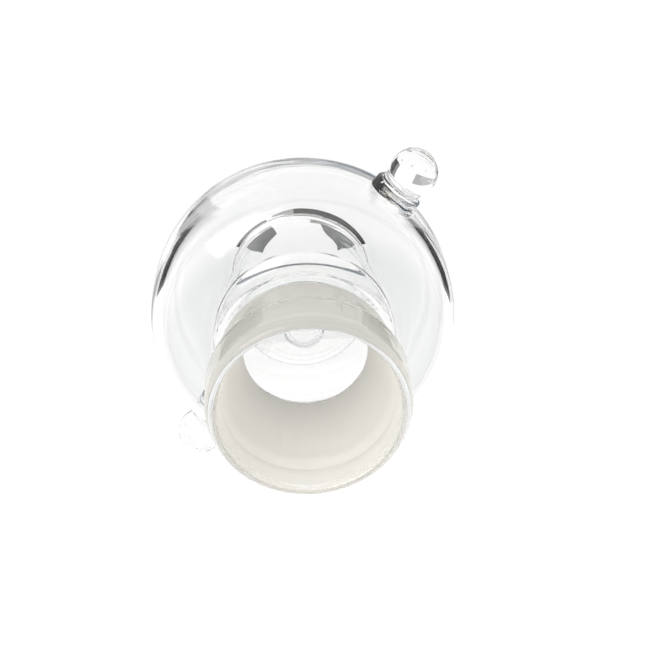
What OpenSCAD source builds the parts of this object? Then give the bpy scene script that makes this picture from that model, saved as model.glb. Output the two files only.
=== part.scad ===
// Blown glass wasp trap.
// Stands on its base ring at z = 0, with the neck along +Z and the two knobs along X.
// Wasps climb in through the dome under the base and cannot find the small hole again.

/* [Bulb] */
// Largest radius of the chamber
bulb_r = 70; // [62:0.5:80]
// Height of that widest line above the base
equator_z = 46; // [42:0.5:52]
// Semi-height of the chamber's lower half, if it ran on to the axis
lower_h = 46.7; // [46:0.1:50]
// Squareness of the lower half, where 2 is an ellipse
lower_power = 3.4; // [3:0.1:3.6]
// Semi-height of the flatter shoulder above the widest line
shoulder_h = 33; // [30:0.5:38]
// Squareness of the shoulder, where 2 is an ellipse
shoulder_power = 3; // [2.2:0.1:3.4]
// Thickness of the blown wall
wall = 3.8; // [3:0.1:4.2]

/* [Neck] */
// Outer radius of the neck tube
neck_r = 38.5; // [37.5:0.1:41]
// Radius of the concave flare from the neck to the shoulder
flare_r = 13.1; // [11:0.1:15]
// Narrow end of the ground bore
throat_r = 27.6; // [24:0.1:31]
// Wide end of the ground bore
mouth_r = 37.2; // [34:0.1:37.2]
// Rounding of the glass under the throat
throat_round = 6; // [3:0.5:8]
// Height of the seat between the ground bore and the lip
seat_z = 118; // [114:0.5:120]

/* [Lip] */
// Outer radius of the lip
lip_r = 44; // [42:0.1:47]
// Height of the underside of the lip
lip_bottom_z = 107.8; // [102:0.2:111]
// Overall height of the trap
total_h = 130; // [128:0.1:134]
// Width of the outer rounding of the lip's crown
crown_w = 3.2; // [2:0.1:4]
// Height of the outer rounding of the lip's crown
crown_h = 6; // [3:0.1:8]
// Radius of the inner rounding of the lip's crown
crown_in = 2; // [1:0.1:2.4]
// Length of the straight bore inside the lip
lip_land = 3.8; // [3:0.1:5]
// Rounding of the lip's lower edge
lip_round = 2.5; // [1:0.1:4]

/* [Base and entry] */
// Radius of the middle of the standing face
foot_r = 32.8; // [31:0.1:35]
// Width of the ground standing face
foot_flat = 2.4; // [1:0.1:3]
// Outer radius at which the base ring meets the chamber wall
foot_seam_r = 39; // [37:0.1:41]
// Outer radius of the entry dome at its foot
dome_foot_r = 32.4; // [31:0.1:33]
// Outer radius of the entry dome at its shoulder
dome_r = 30.2; // [27:0.1:31]
// Rounding of the dome's shoulder
dome_round = 8; // [5:0.5:10]
// Height of the centre of that rounding
dome_round_z = 41.4; // [36:0.1:45]
// Thickness of the entry dome
dome_wall = 3; // [2:0.1:3.4]
// Thickness of the cone where it meets the bead
tip_wall = 2.2; // [1.6:0.1:2.4]
// Radius of the hole that the wasps come in by
entry_r = 7; // [5:0.1:9]
// Radius of the bead round that hole
entry_bead = 1.5; // [1.2:0.1:2]
// Height of the middle of the bead
entry_z = 60; // [57:0.1:63]

/* [Knobs] */
// Radius of each glass ball
knob_r = 11; // [9:0.1:13]
// Distance from the trap's axis to the centre of a ball
knob_reach = 84; // [82:0.1:88]
// Height of the knobs above the base
knob_z = 40; // [36:0.5:46]
// Radius of the foot under each ball
knob_foot_r = 10.4; // [9:0.1:11.5]
// Radius of each flat pad
pad_r = 11.8; // [10:0.1:13]
// Distance from the trap's axis to the outer face of a pad
pad_face = 74.6; // [73:0.1:76]
// Rounding of a pad's outer edge
pad_round = 1.6; // [0.5:0.1:2.2]

/* [Hidden] */
$fn = 96;
arc_steps = 10;
curve_steps = 26;
ball_steps = 24;
// The foot takes over from the ball this many degrees below its widest line
ball_start = 30;
// The lip's crown falls into the mouth past this angle
crown_end = 150;
// The base ring's rolled inner edge
roll_w = 0.4;
roll_low = 0.7;
roll_high = 2;
// First guess and rounds of the search for the flare's end
flare_guess = 0.7;
flare_rounds = 12;
// Share of its rounding at which the throat is taken to leave the shoulder
throat_share = 0.9;
glass = [0.88, 0.93, 0.92, 0.55];
ground_glass = [0.87, 0.86, 0.82, 0.85];

// Points along an arc, from angle a0 to angle a1
function arc(c, r, a0, a1, steps = arc_steps) =
    [for (i = [0:steps]) let (a = a0 + (a1 - a0) * i / steps) c + r * [cos(a), sin(a)]];

// A point on a superellipse of semi-axes a and c, at parameter t
function on_curve(a, c, n, t) = [a * pow(cos(t), 2 / n), c * pow(max(sin(t), 0), 2 / n)];

// Points along the shoulder, from the widest line up to radius r_end
function shoulder(a, c, n, r_end) =
    let (t_end = acos(pow(r_end / a, n / 2)))
    [for (i = [0:curve_steps]) [0, equator_z] + on_curve(a, c, n, t_end * i / curve_steps)];

// Points along the lower half, from radius r_start out to just short of the widest line
function lower(a, c, n, r_start) =
    let (t_start = acos(pow(r_start / a, n / 2)))
    [for (i = [0:curve_steps - 1])
        let (p = on_curve(a, c, n, t_start * (1 - i / curve_steps))) [p[0], equator_z - p[1]]];

// Depth of the lower half below the widest line at radius r
function depth(a, c, n, r) = c * pow(1 - pow(r / a, n), 1 / n);

// How steeply a superellipse falls at radius r, in degrees
function fall(a, c, n, r) =
    let (z = c * pow(1 - pow(r / a, n), 1 / n)) atan(c / a * pow(r / a, n - 1) / pow(z / c, n - 1));

// Radius at which the outer flare meets the shoulder, found by repeated substitution
function flare_end(r, steps) = steps == 0 ? r :
    flare_end(neck_r + flare_r * (1 - sin(fall(bulb_r, shoulder_h, shoulder_power, r))), steps - 1);
function shoulder_z(a, c, r) = equator_z + c * pow(1 - pow(r / a, shoulder_power), 1 / shoulder_power);

flare_end_r = flare_end(neck_r + flare_guess * flare_r, flare_rounds);
flare_fall = fall(bulb_r, shoulder_h, shoulder_power, flare_end_r);
neck_z = shoulder_z(bulb_r, shoulder_h, flare_end_r) + flare_r * cos(flare_fall);

inner_r = bulb_r - wall;
inner_lower_h = lower_h - wall;
inner_shoulder_h = shoulder_h - wall;
throat_fall = fall(inner_r, inner_shoulder_h, shoulder_power, throat_r + throat_share * throat_round);
throat_end_r = throat_r + throat_round * (1 - sin(throat_fall));
throat_z = shoulder_z(inner_r, inner_shoulder_h, throat_end_r) + throat_round * cos(throat_fall);
cone_slope = (mouth_r - throat_r) / (seat_z - throat_z);
neck_bore_r = throat_r + cone_slope * (neck_z - throat_z);

seam_low_z = equator_z - depth(bulb_r, lower_h, lower_power, foot_seam_r);
seam_high_z = equator_z - depth(inner_r, inner_lower_h, lower_power, foot_seam_r);

// Thick rounding where the dome rises from the chamber's floor
fold_r = foot_seam_r - dome_foot_r;
foot_h = seam_high_z + fold_r;

// The cone on top of the dome is tangent to the rounding and runs to the middle of the bead
dome_c = [dome_r - dome_round, dome_round_z];
bead_c = [entry_r + entry_bead, entry_z];
to_bead = bead_c - dome_c;
cone_normal = atan2(to_bead[1], to_bead[0]) - acos(dome_round / norm(to_bead));

module revolved(points) {
    rotate_extrude() polygon(points);
}

// Solid outside shape of the chamber, used to seat the pads on it
module bulb_envelope() {
    revolved(concat(
        [[0, seam_low_z], [foot_seam_r, seam_low_z]],
        lower(bulb_r, lower_h, lower_power, foot_seam_r),
        shoulder(bulb_r, shoulder_h, shoulder_power, flare_end_r),
        [[0, shoulder_z(bulb_r, shoulder_h, flare_end_r)]]));
}

module bulb() {
    outer = concat(
        lower(bulb_r, lower_h, lower_power, foot_seam_r),
        shoulder(bulb_r, shoulder_h, shoulder_power, flare_end_r),
        arc([neck_r + flare_r, neck_z], flare_r, 270 - flare_fall, 180));
    inner = concat(
        lower(inner_r, inner_lower_h, lower_power, foot_seam_r),
        shoulder(inner_r, inner_shoulder_h, shoulder_power, throat_end_r),
        arc([throat_r + throat_round, throat_z], throat_round, 270 - throat_fall, 180),
        [[neck_bore_r, neck_z]]);
    color(glass) revolved(concat(outer, [for (i = [len(inner) - 1:-1:0]) inner[i]]));
}

module neck_socket() {
    color(ground_glass) difference() {
        translate([0, 0, neck_z]) cylinder(r = neck_r, h = seat_z - neck_z);
        translate([0, 0, neck_z]) cylinder(r1 = neck_bore_r, r2 = mouth_r, h = seat_z - neck_z);
    }
}

module neck_lip() {
    top_r = lip_r - crown_w;
    crown = [for (i = [0:arc_steps - 1]) let (a = 90 * i / arc_steps)
        [top_r + crown_w * cos(a), total_h - crown_h + crown_h * sin(a)]];
    color(glass) revolved(concat(
        [[neck_r, seat_z], [neck_r, lip_bottom_z]],
        arc([lip_r - lip_round, lip_bottom_z + lip_round], lip_round, 270, 360),
        crown,
        arc([top_r, total_h - crown_in], crown_in, 90, crown_end),
        [[mouth_r, seat_z + lip_land], [mouth_r, seat_z]]));
}

module base_ring() {
    inner_foot_r = dome_foot_r - dome_wall;
    flat_in = foot_r - foot_flat / 2;
    flat_out = foot_r + foot_flat / 2;
    color(glass) revolved(concat(
        [[flat_in, 0], [flat_out, 0], [foot_seam_r, seam_low_z]],
        arc([foot_seam_r, foot_h], fold_r, 270, 180),
        [[inner_foot_r, foot_h], [inner_foot_r, roll_high], [inner_foot_r + roll_w, roll_low]]));
}

module entry_funnel() {
    inner_round = dome_round - dome_wall;
    foot_tilt = atan((dome_foot_r - dome_r) / (dome_round_z - foot_h));
    top_outer = bead_c + [0, tip_wall / 2];
    top_inner = bead_c - [0, tip_wall / 2];
    outer = concat(
        [[dome_foot_r, foot_h]],
        arc(dome_c, dome_round, foot_tilt, cone_normal),
        [top_outer]);
    inner = concat(
        [[dome_foot_r - dome_wall, foot_h]],
        arc(dome_c, inner_round, foot_tilt, cone_normal),
        [top_inner]);
    color(glass) difference() {
        revolved(concat(outer, [for (i = [len(inner) - 1:-1:0]) inner[i]]));
        translate([0, 0, entry_z]) rotate_extrude() translate([bead_c[0], 0]) circle(r = entry_bead);
    }
}

module entry_rim() {
    color(glass) translate([0, 0, entry_z]) rotate_extrude() translate([bead_c[0], 0]) circle(r = entry_bead);
}

// A pad lies along +X, and its inner end follows the chamber wall
module knob_pad(side) {
    color(glass) rotate([0, 0, side]) difference() {
        translate([0, 0, knob_z]) rotate([0, 90, 0]) rotate_extrude() polygon(concat(
            [[0, pad_face], [0, equator_z], [pad_r, equator_z]],
            arc([pad_r - pad_round, pad_face - pad_round], pad_round, 0, 90)));
        bulb_envelope();
    }
}

// A ball on a short flared foot
module knob(side) {
    color(glass) rotate([0, 0, side]) translate([0, 0, knob_z]) rotate([0, 90, 0]) rotate_extrude()
        polygon(concat(
            [[0, pad_face], [knob_foot_r, pad_face]],
            arc([0, knob_reach], knob_r, -ball_start, 90, ball_steps)));
}

module right_knob_pad() {
    knob_pad(0);
}

module right_knob() {
    knob(0);
}

module left_knob_pad() {
    knob_pad(180);
}

module left_knob() {
    knob(180);
}

bulb();
neck_socket();
neck_lip();
base_ring();
entry_funnel();
entry_rim();
right_knob_pad();
right_knob();
left_knob_pad();
left_knob();
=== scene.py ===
"""Blown glass wasp trap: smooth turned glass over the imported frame, on a white studio table."""

import math

import bmesh
import bpy
import numpy as np
from mathutils import Euler, Matrix, Vector
from mathutils.bvhtree import BVHTree


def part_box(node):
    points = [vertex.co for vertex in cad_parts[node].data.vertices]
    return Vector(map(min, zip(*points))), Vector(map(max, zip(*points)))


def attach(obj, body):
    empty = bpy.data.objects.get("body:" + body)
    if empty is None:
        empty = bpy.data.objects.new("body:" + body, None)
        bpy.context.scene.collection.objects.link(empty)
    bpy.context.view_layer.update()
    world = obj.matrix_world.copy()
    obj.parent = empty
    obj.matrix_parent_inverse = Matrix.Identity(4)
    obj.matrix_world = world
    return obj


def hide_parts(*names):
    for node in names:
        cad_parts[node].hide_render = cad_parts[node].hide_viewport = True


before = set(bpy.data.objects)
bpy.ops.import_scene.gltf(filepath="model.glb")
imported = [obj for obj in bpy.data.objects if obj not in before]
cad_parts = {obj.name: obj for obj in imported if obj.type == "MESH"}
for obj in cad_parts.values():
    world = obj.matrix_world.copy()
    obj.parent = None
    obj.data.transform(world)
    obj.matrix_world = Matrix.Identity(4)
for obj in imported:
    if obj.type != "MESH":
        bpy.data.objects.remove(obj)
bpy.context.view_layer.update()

MM = 0.001
BODY = "root"
CLEAR, WELD, GROUND = 0, 1, 2

# Camera: where it looks from, in degrees about the trap, and how far it is from the point it aims at
VIEW_AZIMUTH = 131.1
VIEW_ELEVATION = 59.94
VIEW_ROLL = 174.7
VIEW_DISTANCE = 0.673
AIM_ALONG = 0.07
AIM_ASIDE = 0.0091
AIM_ACROSS = 0.0065
LENS = 83.08
SENSOR = 36.0

# Mesh fineness: faces round a turned piece, and the step along its outline
AROUND = 240
STEP = 0.8 * MM
# An outline turns a corner past this angle, and a stretch this many times its neighbours is straight
CORNER = math.radians(24)
STRAIGHT = 2.6
# Edges past this angle are shaded sharp
SHARP = math.radians(34)
# Outlines closer than this touch
WELD_GAP = 0.04 * MM
TURNED = ("bulb", "neck_socket", "neck_lip", "base_ring", "entry_funnel", "entry_rim")


# --- Outlines read from the frame ---------------------------------------------------------------

def seam_loop(node):
    """A turned node's half section, as one closed loop of (radius, height) points on its seam."""
    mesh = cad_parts[node].data
    links = {}
    for edge in mesh.edges:
        ends = [mesh.vertices[i].co for i in edge.vertices]
        if any(abs(co.y) > 1e-6 or co.x < 1e-6 for co in ends):
            continue
        a, b = ((round(co.x, 6), round(co.z, 6)) for co in ends)
        if a != b:
            links.setdefault(a, set()).add(b)
            links.setdefault(b, set()).add(a)
    loop = [min(links)]
    ahead = max(links[loop[0]])
    while ahead != loop[0]:
        came = loop[-1]
        loop.append(ahead)
        ahead = next(p for p in links[ahead] if p != came)
    points = np.array(loop)
    return points if area_of(points) > 0 else points[::-1]


def area_of(loop):
    """Signed area of a closed loop, positive when it runs anticlockwise."""
    after = np.roll(loop, -1, axis=0)
    return 0.5 * float(np.sum(loop[:, 0] * after[:, 1] - after[:, 0] * loop[:, 1]))


def unit(v):
    """The vector at length 1."""
    return v / max(np.linalg.norm(v), 1e-12)


def turn_at(loop, i):
    """How sharply a closed outline turns at its point i, in radians."""
    before = unit(loop[i] - loop[i - 1])
    after = unit(loop[(i + 1) % len(loop)] - loop[i])
    return math.acos(max(-1.0, min(1.0, float(before @ after))))


def tangents(points):
    """Tangents for a smooth curve through points; a stretch much longer than its neighbours is straight."""
    runs = np.diff(points, axis=0)
    lengths = np.linalg.norm(runs, axis=1)
    ways = runs / lengths[:, None]
    count = len(ways)
    flat = []
    for i in range(count):
        beside = [lengths[j] for j in (i - 1, i + 1) if 0 <= j < count]
        flat.append(not beside or lengths[i] > STRAIGHT * min(beside))
    found = [None] * len(points)
    for i in range(1, count):
        mix = ways[i - 1] * lengths[i] + ways[i] * lengths[i - 1]
        found[i] = ways[i - 1] if flat[i - 1] else ways[i] if flat[i] else unit(mix)
    found[0] = ways[0] if count == 1 or flat[0] else unit(2 * ways[0] - found[1])
    found[-1] = ways[-1] if count == 1 or flat[-1] else unit(2 * ways[-1] - found[-2])
    return found


def curve(points, step):
    """Points about step apart on a smooth curve through points, without the last one."""
    ways = tangents(points)
    made = []
    for i in range(len(points) - 1):
        a, b = points[i], points[i + 1]
        length = np.linalg.norm(b - a)
        parts = max(1, math.ceil(length / step))
        for t in np.arange(parts) / parts:
            made.append(
                (2 * t**3 - 3 * t**2 + 1) * a + (3 * t**2 - 2 * t**3) * b
                + length * ((t**3 - 2 * t**2 + t) * ways[i] + (t**3 - t**2) * ways[i + 1])
            )
    return made


def smooth_outline(loop):
    """The loop with its curved stretches made smooth, and where its corners are."""
    corners = [i for i in range(len(loop)) if turn_at(loop, i) > CORNER] or [0]
    loop = np.roll(loop, -corners[0], axis=0)
    corners = [i - corners[0] for i in corners] + [len(loop)]
    closed = np.vstack([loop, loop[:1]])
    made, sharp = [], []
    for first, last in zip(corners, corners[1:]):
        sharp.append(len(made))
        made += curve(closed[first:last + 1], STEP)
    return np.array(made), sharp


def gaps_to(point, loop):
    """Distance from a point to each stretch of a closed outline."""
    ab = np.roll(loop, -1, axis=0) - loop
    t = np.clip(np.sum((point - loop) * ab, axis=1) / np.maximum(np.sum(ab * ab, axis=1), 1e-18), 0, 1)
    return np.linalg.norm(loop + t[:, None] * ab - point, axis=1)


def touches(point, loop):
    """True where a point lies on a closed outline."""
    return gaps_to(point, loop).min() < WELD_GAP


def with_point(loop, point):
    """The closed loop with point added on the stretch that it lies on."""
    i = int(np.argmin(gaps_to(point, loop)))
    after = loop[(i + 1) % len(loop)]
    if min(np.linalg.norm(loop[i] - point), np.linalg.norm(after - point)) < WELD_GAP:
        return loop
    return np.insert(loop, i + 1, point, axis=0)


def read_outlines():
    """Smooth outlines of the turned nodes, each with a point wherever a neighbour's corner touches it."""
    loops, corners = {}, {}
    for node in TURNED:
        loops[node], sharp = smooth_outline(seam_loop(node))
        corners[node] = [loops[node][i] for i in sharp] if len(sharp) > 1 else []
    for node in TURNED:
        for other in TURNED:
            for corner in corners[other]:
                if other != node and touches(corner, loops[node]):
                    loops[node] = with_point(loops[node], corner)
    return loops


OUTLINES = read_outlines()


def welded(node):
    """For each stretch of a node's outline, whether it lies on a neighbour's."""
    loop = OUTLINES[node]
    middles = (loop + np.roll(loop, -1, axis=0)) / 2
    others = [OUTLINES[o] for o in TURNED if o != node]
    return [any(touches(m, o) for o in others) for m in middles]


# --- Materials ------------------------------------------------------------------------------------

# Refraction of glass, and the share of ground glass that lets light through with no sight of what is behind
GLASS_IOR = 1.5
MILKINESS = 0.45


def new_material(name):
    """An empty node material, with its nodes and links."""
    material = bpy.data.materials.new(name)
    material.use_nodes = True
    nodes, links = material.node_tree.nodes, material.node_tree.links
    nodes.clear()
    return material, nodes, links


def add(nodes, kind, **inputs):
    """A new node, with its inputs set by name."""
    node = nodes.new(kind)
    for name, value in inputs.items():
        node.inputs[name.replace("_", " ")].default_value = value
    return node


def ramp(nodes, first, first_colour, last, last_colour):
    """A colour ramp between two places."""
    node = nodes.new("ShaderNodeValToRGB")
    low, high = node.color_ramp.elements
    low.position, low.color = first, first_colour
    high.position, high.color = last, last_colour
    return node


def clear_glass():
    """Fire-polished clear glass with the faint unevenness of hand work."""
    material, nodes, links = new_material("clear_glass")
    out = nodes.new("ShaderNodeOutputMaterial")
    glass = add(nodes, "ShaderNodeBsdfPrincipled", Roughness=0.0, IOR=GLASS_IOR)
    glass.inputs["Base Color"].default_value = (0.985, 0.987, 0.985, 1)
    glass.inputs["Transmission Weight"].default_value = 1.0
    where = nodes.new("ShaderNodeTexCoord")
    ripple = add(nodes, "ShaderNodeTexNoise", Scale=38.0, Detail=2.0, Roughness=0.45)
    bump = add(nodes, "ShaderNodeBump", Strength=0.06, Distance=0.002)
    links.new(where.outputs["Object"], ripple.inputs["Vector"])
    links.new(ripple.outputs["Fac"], bump.inputs["Height"])
    links.new(bump.outputs["Normal"], glass.inputs["Normal"])
    links.new(glass.outputs["BSDF"], out.inputs["Surface"])
    return material


def weld_face():
    """The fused face between two gathers, where light goes straight on."""
    material, nodes, links = new_material("fused_joint")
    out = nodes.new("ShaderNodeOutputMaterial")
    clear = nodes.new("ShaderNodeBsdfTransparent")
    links.new(clear.outputs["BSDF"], out.inputs["Surface"])
    return material


def ground_glass():
    """Frosted bore: milky, with the cloudy patches that grinding leaves."""
    material, nodes, links = new_material("ground_glass")
    out = nodes.new("ShaderNodeOutputMaterial")
    glass = add(nodes, "ShaderNodeBsdfPrincipled", IOR=GLASS_IOR)
    glass.inputs["Transmission Weight"].default_value = 0.2
    where = nodes.new("ShaderNodeTexCoord")
    cloud = add(nodes, "ShaderNodeTexNoise", Scale=45.0, Detail=4.0, Roughness=0.6)
    tint = ramp(nodes, 0.3, (0.995, 0.97, 0.905, 1), 0.75, (1.0, 0.985, 0.935, 1))
    rough = add(nodes, "ShaderNodeMapRange")
    rough.inputs["From Min"].default_value = 0.3
    rough.inputs["From Max"].default_value = 0.7
    rough.inputs["To Min"].default_value = 0.78
    rough.inputs["To Max"].default_value = 0.9
    links.new(where.outputs["Object"], cloud.inputs["Vector"])
    links.new(cloud.outputs["Fac"], tint.inputs["Fac"])
    links.new(tint.outputs["Color"], glass.inputs["Base Color"])
    links.new(cloud.outputs["Fac"], rough.inputs["Value"])
    links.new(rough.outputs["Result"], glass.inputs["Roughness"])
    milk = nodes.new("ShaderNodeBsdfTranslucent")
    mix = add(nodes, "ShaderNodeMixShader", Fac=MILKINESS)
    links.new(tint.outputs["Color"], milk.inputs["Color"])
    links.new(glass.outputs["BSDF"], mix.inputs[1])
    links.new(milk.outputs["BSDF"], mix.inputs[2])
    links.new(mix.outputs["Shader"], out.inputs["Surface"])
    return material


MATERIALS = [clear_glass(), weld_face(), ground_glass()]


# --- Glass pieces ---------------------------------------------------------------------------------

def finish_piece(name, bm, node):
    """Turns a bmesh into a named piece that stands for a CAD node."""
    bmesh.ops.recalc_face_normals(bm, faces=[f for f in bm.faces if not f.tag])
    mesh = bpy.data.meshes.new(name)
    bm.to_mesh(mesh)
    bm.free()
    for material in MATERIALS:
        mesh.materials.append(material)
    mesh.shade_smooth()
    mesh.set_sharp_from_angle(angle=SHARP)
    piece = bpy.data.objects.new(name, mesh)
    bpy.context.scene.collection.objects.link(piece)
    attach(piece, BODY)
    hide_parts(node)
    return piece


# Hand work: how far from a seam the surface is free to wave, and how much narrower a ring is one way
SETTLE = 14 * MM
OUT_OF_ROUND = 0.004
# Ripples that add up to one wave, and the angle that spreads things evenly round a circle
RIPPLES = 7
GOLDEN = math.pi * (3 - math.sqrt(5))


def waviness(points, wave):
    """A smooth value from 0 to 1 at each point, made of ripples about a wave wide that run all ways."""
    total = 0
    for i in range(RIPPLES):
        up = 1 - (2 * i + 1) / RIPPLES
        flat = math.sqrt(1 - up * up)
        way = np.array([flat * math.cos(GOLDEN * i), flat * math.sin(GOLDEN * i), up])
        total = total + np.sin(2 * math.pi * (points @ way) / wave + i * i)
    return 0.5 + 0.5 * total / RIPPLES


def fade_from(loop, still):
    """For each outline point, 0 at points that must stay put and 1 well away from them."""
    gaps = np.array([min([np.linalg.norm(p - s) for s in still] or [1.0]) for p in loop])
    t = np.clip(gaps / SETTLE, 0, 1)
    return t * t * (3 - 2 * t)


def outline_normals(loop, weld):
    """Outward normals at the outline's points, taken from the stretches that aren't welds."""
    runs = np.roll(loop, -1, axis=0) - loop
    lengths = np.linalg.norm(runs, axis=1)
    ways = np.stack([runs[:, 1], -runs[:, 0]], axis=1) / lengths[:, None]
    found = []
    for i in range(len(loop)):
        sides = [j for j in (i - 1, i) if not weld[j]] or [i]
        found.append(unit(sum(ways[j] / lengths[j] for j in sides)))
    return np.array(found)


def mesh_of(points, faces, kinds):
    """A bmesh of the points and faces, with a material number for each face."""
    mesh = bpy.data.meshes.new("turning")
    mesh.from_pydata(points.tolist(), [], faces)
    mesh.polygons.foreach_set("material_index", kinds)
    bm = bmesh.new()
    bm.from_mesh(mesh)
    bpy.data.meshes.remove(mesh)
    return bm


def turned_piece(node, depth, wave):
    """A ring of glass turned about the neck's axis, with its surface sunk unevenly by up to depth."""
    loop, weld = OUTLINES[node], welded(node)
    count = len(loop)
    normals = outline_normals(loop, weld)
    ends = [loop[i] for i in range(count) if weld[i] != weld[i - 1]]
    sharp = [loop[i] for i in range(count) if turn_at(loop, i) > CORNER]
    fade = fade_from(loop, ends + sharp)
    angles = 2 * math.pi * np.arange(AROUND) / AROUND
    round_x, round_y = np.cos(angles)[None, :], np.sin(angles)[None, :]
    radius, height = loop[:, :1], loop[:, 1:]
    at = np.stack([radius * round_x, radius * round_y, height + 0 * round_x], axis=-1)
    sink = depth * fade[:, None] * waviness(at, wave)
    r = radius * (1 - OUT_OF_ROUND * round_y**2) - sink * normals[:, :1]
    z = np.maximum(height - sink * normals[:, 1:], 0)
    points = np.stack([r * round_x, r * round_y, z], axis=-1)
    i, k = np.meshgrid(np.arange(count), np.arange(AROUND), indexing="ij")
    i_next, k_next = (i + 1) % count, (k + 1) % AROUND
    corners = (i * AROUND + k, i * AROUND + k_next, i_next * AROUND + k_next, i_next * AROUND + k)
    faces = np.stack(corners, axis=-1).reshape(-1, 4).tolist()
    middles = (loop + np.roll(loop, -1, axis=0)) / 2
    kinds = [WELD if w else GROUND if in_bore(*m) else CLEAR for w, m in zip(weld, middles)]
    return mesh_of(points.reshape(-1, 3), faces, np.repeat(kinds, AROUND))


def throat_height():
    """Height of the narrowest place in the neck, near the top of the bulb."""
    loop = OUTLINES["bulb"]
    high = loop[loop[:, 1] > loop[:, 1].max() - NECK_ROOT]
    return high[np.argmin(high[:, 0])][1]


# The ground bore: how far down to look for its start, the lip's land and its end, and where the polish starts
NECK_ROOT = 10 * MM
BORE_START = throat_height()
MOUTH_R = OUTLINES["neck_lip"][:, 0].min()
LAND_END = max(height for radius, height in OUTLINES["neck_lip"] if radius < MOUTH_R + 0.1 * MM)
POLISHED_FROM = OUTLINES["neck_lip"][:, 1].max() - 3 * MM
# Slack outside the land, and how fast the bevel above it widens
BORE_SLACK = 0.5 * MM
BEVEL = 0.3


def in_bore(radius, height):
    """True on the ground surface, which runs from the throat up through the lip's land and its bevel."""
    wide = MOUTH_R + BORE_SLACK + BEVEL * max(0, height - LAND_END)
    return BORE_START < height < POLISHED_FROM and radius < wide


# The bulb's outer wall on one side: how far out it lies, and how squarely it faces outwards
WALL_FROM = 50 * MM
WALL_FACING = 0.3


def outer_wall(bm, side):
    """The faces of the bulb's outer wall on one side."""
    bm.normal_update()
    beyond = (f for f in bm.faces if f.calc_center_median().x * side > WALL_FROM)
    return [f for f in beyond if f.normal.x * side > WALL_FACING]


def score(bm, side, radius, height):
    """Cuts the bulb's wall along the circle where a pad is fused to it, and makes the faces within a weld."""
    def beyond(co):
        return math.hypot(co.y, co.z - height) - radius
    cuts = set()
    for edge in {e for f in outer_wall(bm, side) for e in f.edges}:
        a, b = edge.verts
        da, db = beyond(a.co), beyond(b.co)
        if da * db < 0:
            cuts.add(bmesh.utils.edge_split(edge, a, da / (da - db))[1])
    for face in {f for v in cuts for f in v.link_faces}:
        on = [v for v in face.verts if v in cuts]
        if len(on) == 2:
            bmesh.utils.face_split(face, on[0], on[1])
    for face in outer_wall(bm, side):
        if beyond(face.calc_center_median()) < 0:
            face.material_index = WELD


def bubble(bm, at, size):
    """A closed air bubble inside the glass, with its faces turned inwards."""
    place = Matrix.Translation(at) @ Matrix.Diagonal((*size, 1))
    made = bmesh.ops.create_icosphere(bm, subdivisions=2, radius=1.0, matrix=place)
    faces = {f for v in made["verts"] for f in v.link_faces}
    bmesh.ops.recalc_face_normals(bm, faces=list(faces))
    bmesh.ops.reverse_faces(bm, faces=list(faces))
    for face in faces:
        face.tag = True
        face.material_index = CLEAR


# Faces round a knob, the least radius that its waves may leave, and the depth and width of those waves
SPOKES = 120
LEAST_R = 0.2 * MM
PAD_WAVES = (0.5 * MM, 5 * MM)
BALL_WAVES = (0.3 * MM, 14 * MM)


def spun_about_x(rings, side, height, depth, wave):
    """Rows of points about the knob's axis, sunk towards that axis by a wavy amount."""
    angles = 2 * math.pi * np.arange(SPOKES) / SPOKES
    along, radius = np.array(rings).T
    flat = np.cos(angles)[None, :] * side, np.sin(angles)[None, :]
    along = along[:, None] * side + 0 * flat[0]
    at = np.stack([along, radius[:, None] * flat[0], radius[:, None] * flat[1] + height], axis=-1)
    r = np.maximum(radius[:, None] - depth * waviness(at, wave), LEAST_R)
    return np.stack([along, r * flat[0], r * flat[1] + height], axis=-1)


def skin(rows, kinds, first, last):
    """A closed bmesh over rows of points. kinds is one material number a band, then one for each end cap."""
    count = len(rows)
    points = np.vstack([rows.reshape(-1, 3), first, last])
    faces, numbers = [], []
    for i in range(count - 1):
        here, above = i * SPOKES, (i + 1) * SPOKES
        for k in range(SPOKES):
            j = (k + 1) % SPOKES
            faces.append((here + k, here + j, above + j, above + k))
            numbers.append(kinds[i])
    for row, middle, kind in ((0, len(points) - 2, kinds[-2]), (count - 1, len(points) - 1, kinds[-1])):
        here = row * SPOKES
        for k in range(SPOKES):
            faces.append((here + k, here + (k + 1) % SPOKES, middle))
            numbers.append(kind)
    return mesh_of(points, faces, numbers)


# The pad's rounded edge, and the rings of points across the seat where it meets the bulb
PAD_ROUND = 1.6 * MM
SEAT_RINGS = 12
# The ball's foot and waist, as shares of its radius, with the rings of points along the foot and the ball
FOOT_SHARE = 0.93
WAIST_SHARE = 0.86
FOOT_RINGS = 7
BALL_RINGS = 46
BALL_END = math.radians(86)
# Air bubbles in each pad and ball, and the half sizes of one: flattened in the pad, drawn out in the ball
PAD_BUBBLES = 9
PAD_BUBBLE = Vector((0.3, 0.7, 0.5)) * MM
BALL_BUBBLES = 7
BALL_BUBBLE = Vector((0.45, 0.3, 0.3)) * MM


def knob_sizes(word):
    """From the frame: a knob's side and height, its pad's radius and face, its ball's radius and centre."""
    pad_low, pad_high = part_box(word + "_knob_pad")
    ball_low, ball_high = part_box(word + "_knob")
    side = 1 if pad_high.x > 0 else -1
    pad_r = (pad_high.y - pad_low.y) / 2
    ball_r = (ball_high.y - ball_low.y) / 2
    height = (ball_high.z + ball_low.z) / 2
    face = max(pad_low.x * side, pad_high.x * side)
    centre = max(ball_low.x * side, ball_high.x * side) - ball_r
    return side, height, pad_r, face, ball_r, centre


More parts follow.
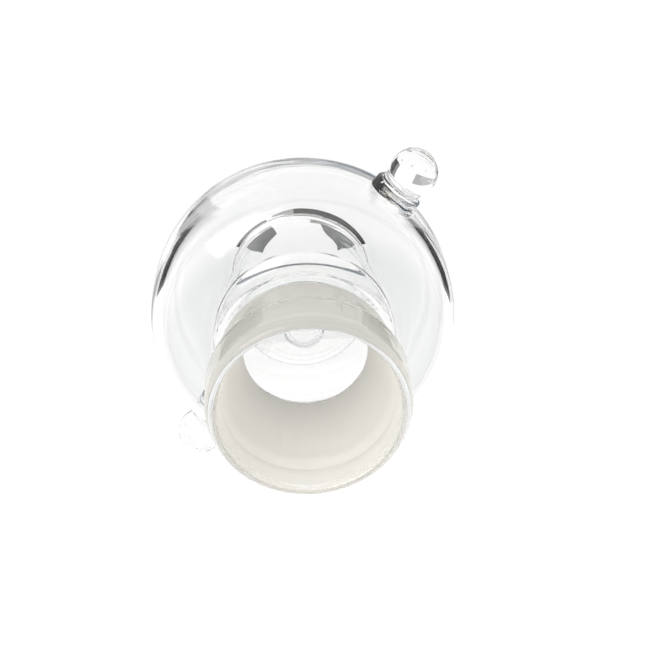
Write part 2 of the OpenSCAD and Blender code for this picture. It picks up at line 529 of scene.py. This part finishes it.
def knob_pad(word, bulb):
    """The flat pad, fused to the bulb's wall on one side and to the ball on the other."""
    side, height, pad_r, face, ball_r, _ = knob_sizes(word)
    wall = BVHTree.FromObject(bulb, bpy.context.evaluated_depsgraph_get())
    inward = Vector((-side, 0, 0))
    middle = wall.ray_cast(Vector((side, 0, height)), inward)[0]
    seat = []
    for radius in np.linspace(1 * MM, pad_r, SEAT_RINGS):
        for angle in 2 * math.pi * np.arange(SPOKES) / SPOKES:
            at = Vector((side, radius * math.cos(angle) * side, radius * math.sin(angle) + height))
            seat.append(wall.ray_cast(at, inward)[0])
    rings = [(face - PAD_ROUND, pad_r)]
    for angle in np.radians(np.arange(10, 100, 10)):
        rings.append((face - PAD_ROUND * (1 - math.sin(angle)), pad_r - PAD_ROUND * (1 - math.cos(angle))))
    rings += [(face, FOOT_SHARE * ball_r)]
    rows = spun_about_x(rings, side, height, *PAD_WAVES)
    rows = np.concatenate([np.array(seat).reshape(SEAT_RINGS, SPOKES, 3), rows])
    kinds = [WELD] * (SEAT_RINGS - 1) + [CLEAR] * len(rings) + [WELD, WELD]
    bm = skin(rows, kinds, middle, (face * side, 0, height))
    for i in range(PAD_BUBBLES):
        turn = GOLDEN * i
        out = pad_r * (0.35 + 0.5 * i / PAD_BUBBLES)
        depth = 1.2 * MM + 0.8 * MM * (i % 3) / 2
        at = Vector(((face - depth) * side, out * math.cos(turn), out * math.sin(turn) + height))
        bubble(bm, at, PAD_BUBBLE * (1 + 0.4 * (i % 2)))
    return bm


def knob_ball(word):
    """The ball on its short waisted foot."""
    side, height, _, face, ball_r, centre = knob_sizes(word)
    foot_r = FOOT_SHARE * ball_r
    waist_r = WAIST_SHARE * ball_r
    join = math.acos(waist_r / ball_r)
    waist_x = centre - ball_r * math.sin(join)
    rings = []
    for t in np.linspace(0, 1, FOOT_RINGS + 1)[:-1]:
        rings.append((face + (waist_x - face) * t, waist_r + (foot_r - waist_r) * (1 - t) ** 2))
    for angle in np.linspace(-join, BALL_END, BALL_RINGS):
        rings.append((centre + ball_r * math.sin(angle), ball_r * math.cos(angle)))
    rows = spun_about_x(rings, side, height, *BALL_WAVES)
    kinds = [CLEAR] * (len(rings) - 1) + [WELD, CLEAR]
    bm = skin(rows, kinds, (face * side, 0, height), ((centre + ball_r) * side, 0, height))
    for i in range(BALL_BUBBLES):
        turn = GOLDEN * i
        out = ball_r * (0.55 + 0.25 * (i % 3) / 2)
        along = centre + ball_r * (0.1 + 0.4 * i / BALL_BUBBLES)
        at = Vector((along * side, out * math.cos(turn), out * math.sin(turn) + height))
        bubble(bm, at, BALL_BUBBLE * (1 + 0.5 * (i % 2)))
    return bm


# Depth and width of the waves in the bulb's surface
BULB_WAVES = (0.35 * MM, 52 * MM)


def build_bulb():
    """The chamber, scored where the two pads are fused to it."""
    bm = turned_piece("bulb", *BULB_WAVES)
    for word in ("right", "left"):
        side, height, pad_r = knob_sizes(word)[:3]
        score(bm, side, pad_r, height)
    return finish_piece("blown_bulb", bm, "bulb")


bulb_piece = build_bulb()
for name, node, slot, depth, wave in (
    ("ground_neck", "neck_socket", "ground_glass", 0.2 * MM, 34 * MM),
    ("polished_lip", "neck_lip", "clear_glass", 0.4 * MM, 30 * MM),
    ("folded_base", "base_ring", "clear_glass", 0.3 * MM, 20 * MM),
    ("entry_dome", "entry_funnel", "clear_glass", 0.3 * MM, 30 * MM),
    ("entry_bead", "entry_rim", "clear_glass", 0.3 * MM, 9 * MM),
):
    finish_piece(name, turned_piece(node, depth, wave), node)
for word in ("right", "left"):
    finish_piece(word + "_pad_glass", knob_pad(word, bulb_piece), word + "_knob_pad")
    finish_piece(word + "_ball_glass", knob_ball(word), word + "_knob")


# --- Studio -----------------------------------------------------------------------------------------

# The table: its half size, and how far it lies under the trap
TABLE_HALF = 3.0
TABLE_DROP = 0.2 * MM


def studio_floor():
    """A white light table under the trap."""
    material, nodes, links = new_material("white_table")
    out = nodes.new("ShaderNodeOutputMaterial")
    paper = add(nodes, "ShaderNodeBsdfPrincipled", Roughness=0.9)
    paper.inputs["Base Color"].default_value = (0.12, 0.12, 0.12, 1)
    paper.inputs["Emission Color"].default_value = (1, 1, 1, 1)
    paper.inputs["Emission Strength"].default_value = 0.9
    links.new(paper.outputs["BSDF"], out.inputs["Surface"])
    bm = bmesh.new()
    bmesh.ops.create_grid(bm, x_segments=4, y_segments=4, size=TABLE_HALF)
    mesh = bpy.data.meshes.new("table")
    bm.to_mesh(mesh)
    bm.free()
    mesh.materials.append(material)
    table = bpy.data.objects.new("table", mesh)
    table.location.z = -TABLE_DROP
    bpy.context.scene.collection.objects.link(table)


# Key lamp: its direction in degrees, its size and power, the height that it aims at and how far off it is
KEY_AZIMUTH = 80
KEY_ELEVATION = 32
KEY_SIZE = 0.6
KEY_POWER = 2.6
KEY_AIM = 0.1
KEY_DISTANCE = 0.9

# Cards that only glass sees, painting dark reflections and refractions into it: the large ones lie outside
# one round hole, whose middle is off to the camera's far side of the trap
HOLE_AWAY = math.radians(219)
HOLE_OFF = 57 * MM
HOLE_MIDDLE = (HOLE_OFF * math.cos(HOLE_AWAY), HOLE_OFF * math.sin(HOLE_AWAY))
HOLE_R = 119 * MM
# How high the large cards lie, the stretches along each card, and the tone of a black one
CARD_HEIGHT = 1 * MM
CARD_PARTS = 24
BLACK = 0.0


def card(name, shade, middle, height, arc):
    """A flat card glowing with its shade that only glass sees: a painted dark reflection and refraction in
    the glass. arc is rows of azimuth, near and far edge about its middle.
    """
    material, nodes, links = new_material(name)
    out = nodes.new("ShaderNodeOutputMaterial")
    # Painted reflection: the card glows with its shade, and only glass sees it
    painted_reflection = add(nodes, "ShaderNodeEmission", Strength=1.0)
    painted_reflection.inputs["Color"].default_value = (shade, shade, shade, 1)
    links.new(painted_reflection.outputs["Emission"], out.inputs["Surface"])
    azimuths, nears, fars = zip(*arc)
    bm = bmesh.new()
    rows = []
    for azimuth in np.linspace(azimuths[0], azimuths[-1], CARD_PARTS):
        c, s = math.cos(math.radians(azimuth)), math.sin(math.radians(azimuth))
        edges = [float(np.interp(azimuth, azimuths, edge)) for edge in (nears, fars)]
        rows.append([bm.verts.new((middle[0] + r * c, middle[1] + r * s, height)) for r in edges])
    for (a, b), (c, d) in zip(rows, rows[1:]):
        bm.faces.new((a, b, d, c))
    mesh = bpy.data.meshes.new(name)
    bm.to_mesh(mesh)
    bm.free()
    mesh.materials.append(material)
    sheet = bpy.data.objects.new(name, mesh)
    # Hidden from the camera, from diffuse light and from shadows, so the card is seen only as painted
    # reflection and refraction in the glass
    sheet.visible_camera = False
    sheet.visible_diffuse = False
    sheet.visible_shadow = False
    bpy.context.scene.collection.objects.link(sheet)


def lay_cards():
    """Black and grey cards round the trap, and small ones on the table inside its entry dome, which paint
    dark arcs, a crescent and a spot into the glass.
    """
    near = 0.98 * HOLE_R
    wide, medium, slim = 200 * MM, 160 * MM, 127 * MM
    # Painted dark reflections and refractions of the bulb's edges: black at its sides, grey between
    for name, shade, arc in (
        ("right_card", BLACK, [(-38, HOLE_R, wide), (-3, near, wide)]),
        ("right_grey_card", 0.25, [(-3, near, medium), (2, HOLE_R, medium)]),
        ("front_card", 0.45, [(12, HOLE_R, slim), (64, HOLE_R, slim)]),
        ("left_grey_card", 0.25, [(64, HOLE_R, medium), (69, HOLE_R, medium)]),
        ("left_card", BLACK, [(69, HOLE_R, wide), (104, near, wide)]),
    ):
        card(name, shade, HOLE_MIDDLE, CARD_HEIGHT, arc)
    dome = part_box("entry_funnel")[1].x
    # Painted dark refractions seen through the entry dome: a black crescent that fades to grey, and a black
    # spot
    for name, shade, arc in (
        ("crescent_card", BLACK, [(-30, 0.6, 1.02), (0, 0.7, 1.03), (41, 0.9, 1.02)]),
        ("crescent_grey_card", 0.35, [(41, 0.9, 1.02), (60, 0.92, 0.97)]),
        ("spot_card", BLACK, [(66, 0.66, 0.95), (103, 0.6, 1.0)]),
    ):
        arc = [(azimuth, inner * dome, outer * dome) for azimuth, inner, outer in arc]
        card(name, shade, (0, 0), -TABLE_DROP / 2, arc)


def key_light():
    """One large soft lamp, above and to one side."""
    azimuth, elevation = math.radians(KEY_AZIMUTH), math.radians(KEY_ELEVATION)
    level = math.cos(elevation)
    way = Vector((math.cos(azimuth) * level, math.sin(azimuth) * level, math.sin(elevation)))
    lamp = bpy.data.lights.new("key", "AREA")
    lamp.size = KEY_SIZE
    lamp.energy = KEY_POWER
    holder = bpy.data.objects.new("key", lamp)
    holder.location = Vector((0, 0, KEY_AIM)) + way * KEY_DISTANCE
    holder.rotation_euler = way.to_track_quat("Z", "Y").to_euler()
    bpy.context.scene.collection.objects.link(holder)


# The tent that glass shows: its tone, the dimmer tone towards one side, and where the dim tone is full
TENT = (1.4, 1.39, 1.37, 1)
TENT_DIM = (0.1, 0.14, 0.2, 1)
DIM_WAY = (-0.62, -0.52, 0.59)
DIM_FULL = 0.45
# The dark band along the tent's foot, up to this height and then fading
BAND_TONE = (0.05, 0.05, 0.05, 1)
BAND_TOP = 0.07
BAND_FADED = 1.6 * BAND_TOP
# What lights the milky glass and the table: the same tone all round
SOFT_TENT = (1.33, 1.31, 1.27, 1)
# What the camera sees behind the table
BACKDROP = (0.96, 0.96, 0.96, 1)


def backdrop(nodes, colour=(1, 1, 1, 1)):
    """A world background of one colour."""
    node = add(nodes, "ShaderNodeBackground", Strength=1.0)
    node.inputs["Color"].default_value = colour
    return node


def tent(nodes, links):
    """The tent that glass shows, with its dimmer side and its dark foot."""
    where = nodes.new("ShaderNodeTexCoord")
    towards = nodes.new("ShaderNodeVectorMath")
    towards.operation = "DOT_PRODUCT"
    towards.inputs[1].default_value = DIM_WAY
    tone = ramp(nodes, 0.0, TENT, DIM_FULL, TENT_DIM)
    split = nodes.new("ShaderNodeSeparateXYZ")
    band = ramp(nodes, BAND_TOP, BAND_TONE, BAND_FADED, (1, 1, 1, 1))
    both = nodes.new("ShaderNodeVectorMath")
    both.operation = "MULTIPLY"
    seen = backdrop(nodes)
    links.new(where.outputs["Generated"], towards.inputs[0])
    links.new(towards.outputs["Value"], tone.inputs["Fac"])
    links.new(where.outputs["Generated"], split.inputs[0])
    links.new(split.outputs["Z"], band.inputs["Fac"])
    links.new(tone.outputs["Color"], both.inputs[0])
    links.new(band.outputs["Color"], both.inputs[1])
    links.new(both.outputs["Vector"], seen.inputs["Color"])
    return seen


def either(nodes, links, chooser, off, on):
    """One of two backgrounds: the second where the chooser is 1."""
    mix = nodes.new("ShaderNodeMixShader")
    links.new(chooser, mix.inputs[0])
    links.new(off.outputs[0], mix.inputs[1])
    links.new(on.outputs[0], mix.inputs[2])
    return mix


def studio_world():
    """A backdrop for the camera, an even light for milky glass and the table, and a tent for clear glass."""
    world = bpy.data.worlds.new("studio")
    bpy.context.scene.world = world
    world.use_nodes = True
    nodes, links = world.node_tree.nodes, world.node_tree.links
    nodes.clear()
    out = nodes.new("ShaderNodeOutputWorld")
    ray = nodes.new("ShaderNodeLightPath")
    scattered = nodes.new("ShaderNodeMath")
    scattered.operation = "GREATER_THAN"
    scattered.inputs[1].default_value = 0.5
    links.new(ray.outputs["Diffuse Depth"], scattered.inputs[0])
    lit = either(nodes, links, scattered.outputs["Value"], tent(nodes, links), backdrop(nodes, SOFT_TENT))
    seen = either(nodes, links, ray.outputs["Is Camera Ray"], lit, backdrop(nodes, BACKDROP))
    links.new(seen.outputs["Shader"], out.inputs["Surface"])


def camera():
    """A long lens looking down into the mouth, rolled so that the mouth comes towards the viewer's feet."""
    azimuth, elevation = math.radians(VIEW_AZIMUTH), math.radians(VIEW_ELEVATION)
    ahead = Vector((
        -math.sin(azimuth) * math.cos(elevation),
        math.cos(azimuth) * math.cos(elevation),
        -math.sin(elevation),
    ))
    turn = ahead.to_track_quat("-Z", "Y") @ Euler((0, 0, math.radians(VIEW_ROLL))).to_quaternion()
    right = turn @ Vector((1, 0, 0))
    up = turn @ Vector((0, 1, 0))
    aim = Vector((0, 0, AIM_ALONG)) + AIM_ASIDE * right + AIM_ACROSS * up
    lens = bpy.data.cameras.new("camera")
    lens.lens = LENS
    lens.sensor_width = SENSOR
    lens.clip_start = 0.01
    seat = bpy.data.objects.new("camera", lens)
    seat.matrix_world = Matrix.Translation(aim - ahead * VIEW_DISTANCE) @ turn.to_matrix().to_4x4()
    bpy.context.scene.collection.objects.link(seat)
    bpy.context.scene.camera = seat


def light_paths():
    """Enough bounces for light to get through the layers of glass, and plain colours."""
    scene = bpy.context.scene
    scene.view_settings.view_transform = "Standard"
    scene.cycles.max_bounces = 40
    scene.cycles.diffuse_bounces = 20
    scene.cycles.transmission_bounces = 40
    scene.cycles.glossy_bounces = 12
    scene.cycles.transparent_max_bounces = 40


studio_floor()
lay_cards()
key_light()
studio_world()
camera()
light_paths()
